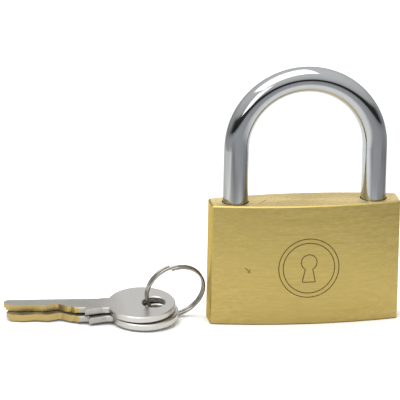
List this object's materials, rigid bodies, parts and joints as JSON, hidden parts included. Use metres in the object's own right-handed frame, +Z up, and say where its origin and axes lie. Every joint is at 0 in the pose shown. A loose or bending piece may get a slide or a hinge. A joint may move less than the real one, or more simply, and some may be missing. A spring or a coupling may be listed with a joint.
{
  "type": "padlock",
  "caption": "Solid brass padlock with a round-bar steel shackle, bolts pushed out by a keyed plug, and flat keys beside it on a split ring.",
  "frame": {"origin": "centre of the lock body's underside", "axes": "+Z up, +X across the width from the long heel leg to the short toe leg, +Y from the front face to the back face; the keys lie to -X"},
  "size_m": [0.1238, 0.0249, 0.0822],
  "materials": {
    "body_brass": "satin, brushed across",
    "polished_steel": "polished",
    "ring_steel": "polished wire",
    "key_nickel": "satin nickel plate",
    "plug_brass": "turned",
    "latch_steel": "turned",
    "pin_brass": "turned",
    "spring_steel": "drawn wire"
  },
  "bodies": {
    "lock_body": {"lock_body": "body_brass", "chamber_plugs": "body_brass", "latch_channel_plug": "body_brass", "heel_retaining_pin": "latch_steel", "plug_retaining_pin": "latch_steel", "shackle_spring": "spring_steel", "pin_spring_1": "spring_steel", "pin_spring_2": "spring_steel", "pin_spring_3": "spring_steel", "pin_spring_4": "spring_steel", "pin_spring_5": "spring_steel"},
    "shackle": {"shackle": "polished_steel"},
    "plug": {"plug": "plug_brass", "cam": "latch_steel"},
    "bolt_toe": {"locking_bolt_toe": "latch_steel"},
    "bolt_heel": {"locking_bolt_heel": "latch_steel"},
    "key_pin_1": {"key_pin_1": "pin_brass"},
    "key_pin_2": {"key_pin_2": "pin_brass"},
    "key_pin_3": {"key_pin_3": "pin_brass"},
    "key_pin_4": {"key_pin_4": "pin_brass"},
    "key_pin_5": {"key_pin_5": "pin_brass"},
    "driver_pin_1": {"driver_pin_1": "pin_brass"},
    "driver_pin_2": {"driver_pin_2": "pin_brass"},
    "driver_pin_3": {"driver_pin_3": "pin_brass"},
    "driver_pin_4": {"driver_pin_4": "pin_brass"},
    "driver_pin_5": {"driver_pin_5": "pin_brass"},
    "split_ring": {"split_ring": "ring_steel"},
    "key_lower": {"key_lower": "key_nickel"},
    "key_upper": {"key_upper": "key_nickel"}
  },
  "joints": [
    {"name": "shackle_lift", "type": "slide", "parent": "lock_body", "child": "shackle", "axis": [0, 0, 1], "range_m": [0, 0.0122], "deforming": ["shackle_spring"]},
    {"name": "plug_turn", "type": "hinge", "parent": "lock_body", "child": "plug", "pos_m": [0, 0, 0], "axis": [0, 0, 1], "range_deg": [-90, 0]},
    {"name": "bolt_toe_slide", "type": "slide", "parent": "lock_body", "child": "bolt_toe", "axis": [-1, 0, 0], "range_m": [-0.0021, 0]},
    {"name": "bolt_heel_slide", "type": "slide", "parent": "lock_body", "child": "bolt_heel", "axis": [1, 0, 0], "range_m": [-0.0021, 0]},
    {"name": "key_pin_1_slide", "type": "slide", "parent": "plug", "child": "key_pin_1", "axis": [0, -1, 0], "range_m": [0, 0.0012]},
    {"name": "key_pin_2_slide", "type": "slide", "parent": "plug", "child": "key_pin_2", "axis": [0, -1, 0], "range_m": [0, 0.0012]},
    {"name": "key_pin_3_slide", "type": "slide", "parent": "plug", "child": "key_pin_3", "axis": [0, -1, 0], "range_m": [0, 0.0012]},
    {"name": "key_pin_4_slide", "type": "slide", "parent": "plug", "child": "key_pin_4", "axis": [0, -1, 0], "range_m": [0, 0.0012]},
    {"name": "key_pin_5_slide", "type": "slide", "parent": "plug", "child": "key_pin_5", "axis": [0, -1, 0], "range_m": [0, 0.0012]},
    {"name": "driver_pin_1_slide", "type": "slide", "parent": "lock_body", "child": "driver_pin_1", "axis": [1, 0, 0], "range_m": [0, 0.0018], "stiffness_N_per_m": 25, "springref_m": -0.003, "deforming": ["pin_spring_1"]},
    {"name": "driver_pin_2_slide", "type": "slide", "parent": "lock_body", "child": "driver_pin_2", "axis": [1, 0, 0], "range_m": [0, 0.0018], "stiffness_N_per_m": 25, "springref_m": -0.003, "deforming": ["pin_spring_2"]},
    {"name": "driver_pin_3_slide", "type": "slide", "parent": "lock_body", "child": "driver_pin_3", "axis": [1, 0, 0], "range_m": [0, 0.0018], "stiffness_N_per_m": 25, "springref_m": -0.003, "deforming": ["pin_spring_3"]},
    {"name": "driver_pin_4_slide", "type": "slide", "parent": "lock_body", "child": "driver_pin_4", "axis": [1, 0, 0], "range_m": [0, 0.0018], "stiffness_N_per_m": 25, "springref_m": -0.003, "deforming": ["pin_spring_4"]},
    {"name": "driver_pin_5_slide", "type": "slide", "parent": "lock_body", "child": "driver_pin_5", "axis": [1, 0, 0], "range_m": [0, 0.0018], "stiffness_N_per_m": 25, "springref_m": -0.003, "deforming": ["pin_spring_5"]},
    {"name": "ring_lift", "type": "slide", "parent": "lock_body", "child": "split_ring", "axis": [0, 0, 1], "range_m": [0, 0.06]},
    {"name": "key_lower_swing", "type": "hinge", "parent": "split_ring", "child": "key_lower", "pos_m": [-0.04621, 0.00109, 0.00276], "axis": [-0.0358, -0.0866, 0.9956], "range_deg": [-10, 10]},
    {"name": "key_upper_swing", "type": "hinge", "parent": "split_ring", "child": "key_upper", "pos_m": [-0.0471, 0.00165, 0.00508], "axis": [-0.0358, -0.0866, 0.9956], "range_deg": [-10, 10]}
  ],
  "couplings": [
    {"joint": "plug_turn", "follows": "bolt_toe_slide", "rad_per_m": 747.99},
    {"joint": "bolt_heel_slide", "follows": "bolt_toe_slide", "ratio": 1}
  ]
}
